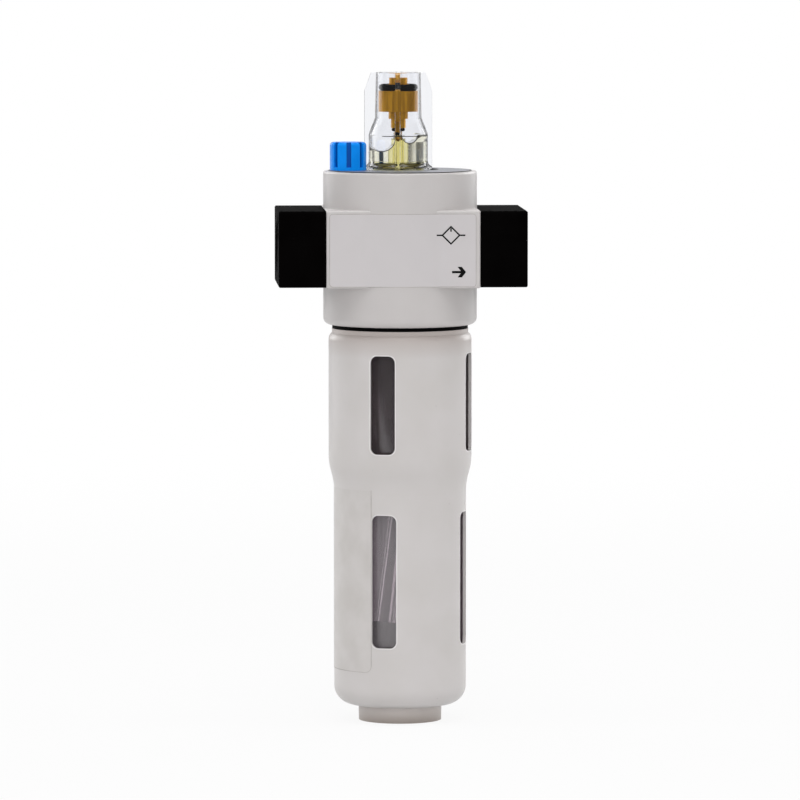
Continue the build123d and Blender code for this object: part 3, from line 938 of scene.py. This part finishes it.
@dataclass
class SightDome:
    """Clear dome over the drip cup, with the oil that stands in it."""

    middle: tuple[float, float] = (-0.2, 5.0)
    chamber_r: float = 6.7
    core_r: float = 0.05
    cup_top: float = 143.05
    oil_level: float = 149.9
    overlap: float = 0.06
    climb: float = 0.4
    climb_width: float = 0.5
    # Air pockets: place across, height of the centre, radius.
    pockets: tuple[tuple[float, float, float], ...] = ((-4.4, 149.45, 3.35), (2.53, 150.18, 1.95))
    rings: int = 44
    steps: int = 180
    edge_width: float = 0.2
    edge_depth: float = 0.05
    edge_inset: float = 0.03
    edge_end: float = 5.9
    edge_rise: float = 0.1
    edge_steps: int = 40
    # First and last angle of a pocket's lower half and the step between two, in degrees.
    pocket_turn: tuple[int, int, int] = (182, 364, 6)
    pocket_gap: float = 0.3
    pocket_overlap: float = 0.2
    oil_crease: float = 60.0

    def build(self) -> None:
        """Dress the dome and its cup and fill in the oil."""
        dress(DOME_CLEAR, "sight_dome")
        dress(CUP_CLEAR, "drip_cup")
        dress(RUBBER, "dome_o_ring")
        self.add_oil()
        self.add_edge_lines()

    def level(self, x: float, y: float) -> float:
        """Return the oil's height at a place counted from the dome's axis.

        Args:
            x: Across, in millimetres.
            y: Along, in millimetres.

        Returns:
            Height of the oil's face, with its climb at the wall and the hollows of air pockets.
        """
        gap = self.chamber_r - math.hypot(x, y)
        height = self.oil_level + self.climb * math.exp(-max(gap, 0.0) / self.climb_width)
        for across, centre, radius in self.pockets:
            reach = radius ** 2 - (x - across) ** 2
            if reach > 0:
                height = min(height, centre - math.sqrt(reach))
        return height

    def ring(self, radius: float, height: Callable[[float, float], float]) -> list[Point]:
        """Return one ring of points round the dome's axis.

        Args:
            radius: Radius of the ring.
            height: Gives the height at a place counted from the axis.

        Returns:
            The ring's points.
        """
        points = []
        for step in range(self.steps):
            angle = 2 * math.pi * step / self.steps
            x, y = radius * math.cos(angle), radius * math.sin(angle)
            points.append((self.middle[0] + x, self.middle[1] + y, height(x, y)))
        return points

    def skin(self, count: int) -> Faces:
        """Return the faces between neighbouring rings, and from the last ring back to the first.

        Args:
            count: Number of rings.

        Returns:
            The faces, ring by ring.
        """
        faces: Faces = []
        for ring in range(count):
            low, high = ring * self.steps, (ring + 1) % count * self.steps
            for step in range(self.steps):
                after = (step + 1) % self.steps
                faces.append((low + step, low + after, high + after, high + step))
        return faces

    def add_oil(self) -> None:
        """Add the oil over the cup: one body of liquid up to the wall, in the riser's bore as well."""
        inner, outer = self.core_r, self.chamber_r + self.overlap
        points: list[Point] = []
        for ring in range(self.rings + 1):
            points += self.ring(inner + (outer - inner) * ring / self.rings, self.level)
        for radius in (outer, inner):
            points += self.ring(radius, lambda x, y: self.cup_top - self.overlap)
        faces = self.skin(self.rings + 3)[:-self.steps]
        last = (self.rings + 2) * self.steps
        faces += [tuple(range(self.steps)), tuple(range(last, last + self.steps))]
        make_piece("oil_charge", points, faces, OIL, "head", self.oil_crease)

    def strip(self, path: Outline) -> tuple[list[Point], Faces]:
        """Build a narrow strip that lies on the front of the chamber's wall.

        Args:
            path: Points across and in height, counted from the dome's axis.

        Returns:
            Points and faces of the closed strip.
        """
        points: list[Point] = []
        for index, (x, z) in enumerate(path):
            before, after = path[max(index - 1, 0)], path[min(index + 1, len(path) - 1)]
            run, rise = after[0] - before[0], after[1] - before[1]
            half = self.edge_width / 2 / math.hypot(run, rise)
            for side in (-half, half):
                across, height = x - side * rise, z + side * run
                for inset in (self.edge_inset, self.edge_inset + self.edge_depth):
                    radius = self.chamber_r - inset
                    along = math.sqrt(max(radius ** 2 - across ** 2, 0.0))
                    points.append((self.middle[0] + across, self.middle[1] - along, height))
        return points, bar_faces(len(path), (0, 1, 3, 2))

    def add_edge_lines(self) -> None:
        """Add thin dark strips as painted refraction: the lines that the oil's curved edge draws along the
        wall and round each air pocket.
        """
        paths: list[tuple[str, Outline]] = []
        for name, (across, centre, radius) in zip(("left", "right"), self.pockets):
            turns = [math.radians(turn) for turn in range(*self.pocket_turn)]
            arc = [(across + radius * math.cos(turn), centre + radius * math.sin(turn)) for turn in turns]
            reach = self.chamber_r - self.pocket_gap
            paths.append((f"{name}_pocket", [(x, z) for x, z in arc if abs(x) < reach]))
        start, height = self.pockets[0][0] + self.pocket_overlap, self.oil_level + self.edge_rise
        run = (self.edge_end - start) / self.edge_steps
        paths.append(("level", [(start + run * step, height) for step in range(self.edge_steps + 1)]))
        # Painted refraction: each dark strip stands for a line that the oil's edge draws by bending the view.
        for name, path in paths:
            points, faces = self.strip(path)
            make_piece(f"oil_edge_{name}", points, faces, PAINTED_OIL_LINE, "head")


@dataclass
class NeedleScrew:
    """Brass needle screw with its rubber rings."""

    def build(self) -> None:
        """Dress the screw and its rings."""
        dress(BRASS, "adjusting_screw")
        dress(RUBBER, "adjusting_screw_o_ring", "needle_o_ring")


@dataclass
class FillerPlug:
    """Blue filler plug with its sealing ring."""

    def build(self) -> None:
        """Dress the plug and its ring."""
        dress(BLUE_ACETAL, "filler_plug")
        dress(RUBBER, "filler_plug_o_ring")


@dataclass
class BowlAndGuard:
    """Steel guard with the bare clear sticker, over the clear bowl."""

    guard_r: float = 16.95
    upper_guard_r: float = 18.35
    sticker: Film = Film(width=19.6, height=48.8, corner=1.8, thickness=0.05, columns=48, line_width=0.13,
                         line_thickness=0.015)
    sticker_middle: float = 38.0
    sticker_right: float = -28.2
    window_turn: float = -17.0
    window_count: int = 4
    window_width: float = 6.4
    window_corner: float = 1.7
    window_cuts: int = 12
    lower_window: tuple[float, float] = (20.0, 54.0)
    upper_window: tuple[float, float] = (69.65, 94.75)
    lip: float = 0.27
    lip_thickness: float = 0.03

    def build(self) -> None:
        """Dress the guard and the bowl and add the sticker and the painted highlights round the windows'
        edges.
        """
        dress(GUARD_PAINT, "bowl_guard")
        dress(BLACK_ACETAL, "guard_thread_ring")
        dress(RUBBER, "guard_gap_ring", "bowl_o_ring")
        dress(BOWL_CLEAR, "bowl")
        self.sticker.build("guard_sticker", self.round_guard, STICKER_FILM, "guard", "painted_guard")
        rows = (("lower", self.guard_r, self.lower_window), ("upper", self.upper_guard_r, self.upper_window))
        for index in range(self.window_count):
            turn = self.window_turn + 360 * index / self.window_count
            for row, radius, span in rows:
                self.add_window_highlight(f"guard_{row}_window_edge_{index + 1}", radius, span, turn)

    def add_window_highlight(self, name: str, radius: float, span: tuple[float, float], turn: float) -> None:
        """Add the narrow painted highlight round one window of the guard.

        Args:
            name: Name of the piece.
            radius: Radius of the guard's wall there.
            span: Lowest and highest level of the window.
            turn: Angle of the window's middle from the front, in degrees.
        """
        low, high = span
        height = high - low
        outlines = [
            rounded_outline(self.window_width + grow, height + grow, self.window_corner + grow / 2,
                            cuts=self.window_cuts)
            for grow in (2 * self.lip, 0.0)
        ]
        cos, sin = math.cos(math.radians(turn)), math.sin(math.radians(turn))

        def place(u: float, v: float, rise: float) -> Point:
            """Place one point on the guard's wall, sunk a little into it at its foot.

            Args:
                u: Place across the window.
                v: Place up it.
                rise: Height over the wall.

            Returns:
                The point.
            """
            away = radius + (rise if rise else -self.lip_thickness)
            along = -math.sqrt(away ** 2 - u ** 2)
            return u * cos - along * sin, u * sin + along * cos, (low + high) / 2 + v

        points, faces = plate_of(outlines, place, self.lip_thickness)
        # Painted highlight: a light strip along the window's edge.
        make_piece(name, points, faces, WINDOW_HIGHLIGHT, "guard")

    def round_guard(self, u: float, v: float, height: float) -> Point:
        """Place one point of the sticker on the guard's lower wall.

        Args:
            u: Place across the sticker.
            v: Place along it.
            height: Height over the wall.

        Returns:
            The point.
        """
        angle = math.radians(self.sticker_right) + (u - self.sticker.width / 2) / self.guard_r
        radius = self.guard_r + height
        return radius * math.sin(angle), -radius * math.cos(angle), self.sticker_middle + v


@dataclass
class OilLift:
    """Fitting, check ball, hose and filter that carry the oil up from the bowl."""

    def build(self) -> None:
        """Dress the oil's way up."""
        dress(BRASS, "lift_fitting")
        dress(STEEL, "check_ball")
        dress(HOSE_CLEAR, "suction_hose")
        dress(SINTERED_BRONZE, "siphon_filter")


@dataclass
class AirWay:
    """Venturi and rubber damper inside the block."""

    leaf_place: float = -6.5
    leaf_thickness: float = 0.15
    leaf_r: float = 3.8
    leaf_z: float = 121.9
    steps: int = 36

    def build(self) -> None:
        """Dress the pieces in the air way and close the damper's slit, as it is without flow."""
        dress(WHITE_ACETAL, "venturi_insert")
        dress(RUBBER, "flow_damper")
        self.add_leaf()

    def add_leaf(self) -> None:
        """Add the thin rubber leaf that closes the slit."""
        turns = [2 * math.pi * step / self.steps for step in range(self.steps)]
        rim = [(self.leaf_r * math.cos(turn), self.leaf_r * math.sin(turn)) for turn in turns]
        points, faces = plate_of([rim], lambda u, v, rise: (self.leaf_place + rise, u, self.leaf_z + v),
                                 self.leaf_thickness)
        make_piece("flow_damper_leaf", points, faces, RUBBER, "head")


@dataclass(frozen=True)
class Softbox:
    """A square softbox aimed at the object: place and side in metres, power in watts.

    One that isn't mirrored hangs behind a polariser, so it lights without a glint on clear plastic.
    """

    name: str
    place: Point
    side: float
    power: float
    mirrored: bool = True


@dataclass
class Studio:
    """White paper floor, softboxes, a white room that is dim behind the camera, and the camera."""

    floor_half: float = 0.8
    floor_paper: str = "#dadada"
    floor_share: float = 0.9
    floor_near: float = 0.25
    room_white: str = "#ffffff"
    # The room's front for diffuse rays, for mirrored ones and for those that pass clear plastic without
    # being mirrored: its level, and the Y of the ray from which it rises and at which it has risen to the
    # level of the sides.
    front_levels: Point = (0.22, 0.13, 0.8)
    front_edges: Point = (-0.45, 0.0, -0.3)
    front_ends: Point = (0.05, 0.4, -0.06)
    side_level: float = 0.6
    flag_level: float = 0.04
    flag_inner: tuple[float, float] = (0.37, 0.41)
    flag_outer: tuple[float, float] = (0.50, 0.54)
    flag_front: tuple[float, float] = (0.0, 0.15)
    lamps: tuple[Softbox, ...] = (
        Softbox("top_softbox", (0.0, -0.50, 1.65), 1.2, 14.0),
        Softbox("key_softbox", (-0.05, -1.75, 0.50), 1.0, 11.4, mirrored=False),
        Softbox("left_softbox", (-1.60, -0.30, 0.90), 1.2, 5.0, mirrored=False),
        Softbox("right_softbox", (1.60, -0.10, 0.90), 1.2, 5.4, mirrored=False),
        Softbox("left_rim_softbox", (-1.15, 1.35, 0.55), 0.9, 8.5),
        Softbox("right_rim_softbox", (1.15, 1.35, 0.55), 0.9, 8.0),
    )
    target: Point = (0.0, 0.0, 0.085)
    camera_place: Point = (-79.9, -1613.3, 205.5)
    camera_turn: Point = (85.639, 0.0, -2.835)
    focal_pixels: float = 6311.0
    frame_pixels: float = 800.0
    sensor: float = 36.0
    clip: tuple[float, float] = (0.05, 50.0)

    def build(self) -> None:
        """Set up the floor, the room, the lamps and the camera."""
        self.add_floor()
        self.add_room()
        for softbox in self.lamps:
            self.add_lamp(softbox)
        self.add_camera()
        bpy.context.scene.view_settings.view_transform = "Standard"

    def add_floor(self) -> None:
        """Add the white paper floor: plain white where it is seen, with a trace of the shadow near by."""
        half = self.floor_half
        mesh = bpy.data.meshes.new("floor")
        mesh.from_pydata([(-half, -half, 0), (half, -half, 0), (half, half, 0), (-half, half, 0)], [],
                         [(0, 1, 2, 3)])
        made = bpy.data.materials.new("white paper floor")
        made.use_nodes = True
        tree = made.node_tree
        tree.nodes.clear()
        path = add_node(tree, "LightPath").outputs
        seen = path["Is Camera Ray"]
        for kind in ("Is Glossy Ray", "Is Transmission Ray"):
            seen = add_node(tree, "Math", {0: seen, 1: path[kind]}, operation="MAXIMUM").outputs[0]
        where = add_node(tree, "TexCoord").outputs["Object"]
        away = add_node(tree, "VectorMath", {0: where}, operation="LENGTH").outputs["Value"]
        plain = add_node(tree, "MapRange", {
            0: away, 1: self.floor_near, 2: self.floor_half, 3: self.floor_share, 4: 1.0,
        }, interpolation_type="SMOOTHSTEP")
        share = add_node(tree, "Math", {0: seen, 1: plain.outputs[0]}, operation="MULTIPLY").outputs[0]
        paper = add_node(tree, "BsdfDiffuse", {"Color": linear(self.floor_paper)})
        glow = add_node(tree, "Emission", {"Color": linear(self.room_white), "Strength": 1.0})
        both = add_node(tree, "MixShader", {0: share, 1: paper.outputs[0], 2: glow.outputs[0]})
        add_node(tree, "OutputMaterial", {"Surface": both.outputs[0]})
        mesh.materials.append(made)
        floor = bpy.data.objects.new("floor", mesh)
        bpy.context.scene.collection.objects.link(floor)

    def add_room(self) -> None:
        """Set the world to a room that is white behind and beside the object and dim in front of it.

        The two dark flags between the backdrop and the side walls draw the dark outlines that clear
        plastic has in front of white. The camera sees plain white all round.
        """
        world = bpy.data.worlds.new("white room with a dim front")
        world.use_nodes = True
        tree = world.node_tree
        tree.nodes.clear()
        path = add_node(tree, "LightPath").outputs
        way = add_node(tree, "SeparateXYZ", {0: add_node(tree, "TexCoord").outputs["Generated"]}).outputs
        across = add_node(tree, "Math", {0: way["X"]}, operation="ABSOLUTE").outputs[0]
        # A ray that was never mirrored on its way through clear plastic has a glossy depth of 0.
        straight = add_node(tree, "Math", {0: path["Glossy Depth"], 1: 0.5}, operation="LESS_THAN").outputs[0]
        through = add_node(tree, "Math", {0: path["Is Transmission Ray"], 1: straight},
                           operation="MULTIPLY").outputs[0]
        picked = []
        for diffuse, mirrored, clear in (self.front_levels, self.front_edges, self.front_ends):
            level = add_node(tree, "MapRange", {0: path["Is Glossy Ray"], 3: diffuse, 4: mirrored})
            picked.append(add_node(tree, "MapRange", {0: through, 3: level.outputs[0], 4: clear}).outputs[0])
        front, edge, end = picked
        side = add_node(tree, "MapRange", {0: path["Is Diffuse Ray"], 3: 1.0, 4: self.side_level})
        room = add_node(tree, "MapRange", {0: way["Y"], 1: edge, 2: end, 3: front, 4: side.outputs[0]},
                        interpolation_type="SMOOTHSTEP")
        flag: Any = 1.0 - self.flag_level
        turns = (
            (across, self.flag_inner, 0.0, 1.0),
            (across, self.flag_outer, 1.0, 0.0),
            (way["Y"], self.flag_front, 0.0, 1.0),
        )
        for value, limits, low, high in turns:
            eased = add_node(tree, "MapRange", {0: value, 1: limits[0], 2: limits[1], 3: low, 4: high},
                             interpolation_type="SMOOTHSTEP")
            flag = add_node(tree, "Math", {0: flag, 1: eased.outputs[0]}, operation="MULTIPLY").outputs[0]
        seen = add_node(tree, "Math", {0: room.outputs[0], 1: flag}, operation="SUBTRACT").outputs[0]
        strength = add_node(tree, "Math", {0: seen, 1: path["Is Camera Ray"]}, operation="MAXIMUM").outputs[0]
        glow = add_node(tree, "Background", {"Color": linear(self.room_white), "Strength": strength})
        add_node(tree, "OutputWorld", {"Surface": glow.outputs[0]})
        bpy.context.scene.world = world

    def add_lamp(self, softbox: Softbox) -> None:
        """Add one softbox; the clear parts don't show any softbox that stands behind them.

        Args:
            softbox: Its place, size and power.
        """
        data = bpy.data.lights.new(softbox.name, "AREA")
        data.shape = "SQUARE"
        data.size = softbox.side
        data.energy = softbox.power
        lamp = bpy.data.objects.new(softbox.name, data)
        lamp.location = softbox.place
        aim = Vector(self.target) - Vector(softbox.place)
        lamp.rotation_euler = aim.to_track_quat("-Z", "Y").to_euler()
        lamp.visible_glossy = softbox.mirrored
        lamp.visible_transmission = False
        bpy.context.scene.collection.objects.link(lamp)

    def add_camera(self) -> None:
        """Add the camera at the photograph's place."""
        data = bpy.data.cameras.new("camera")
        data.sensor_width = self.sensor
        data.lens = self.focal_pixels / self.frame_pixels * self.sensor
        data.clip_start, data.clip_end = self.clip
        camera = bpy.data.objects.new("camera", data)
        camera.location = [MM * value for value in self.camera_place]
        camera.rotation_euler = Euler([math.radians(value) for value in self.camera_turn])
        bpy.context.scene.collection.objects.link(camera)
        bpy.context.scene.camera = camera


def main() -> None:
    """Build the studio and every sub-assembly in order."""
    logging.basicConfig(level=logging.INFO, format="%(name)s: %(message)s")
    for assembly in (Studio(), HeadBlock(), ConnectingPlates(), SightDome(), NeedleScrew(), FillerPlug(),
                     BowlAndGuard(), OilLift(), AirWay()):
        assembly.build()
        LOG.info("finished %s", type(assembly).__name__)


if __name__ == "__main__":
    main()
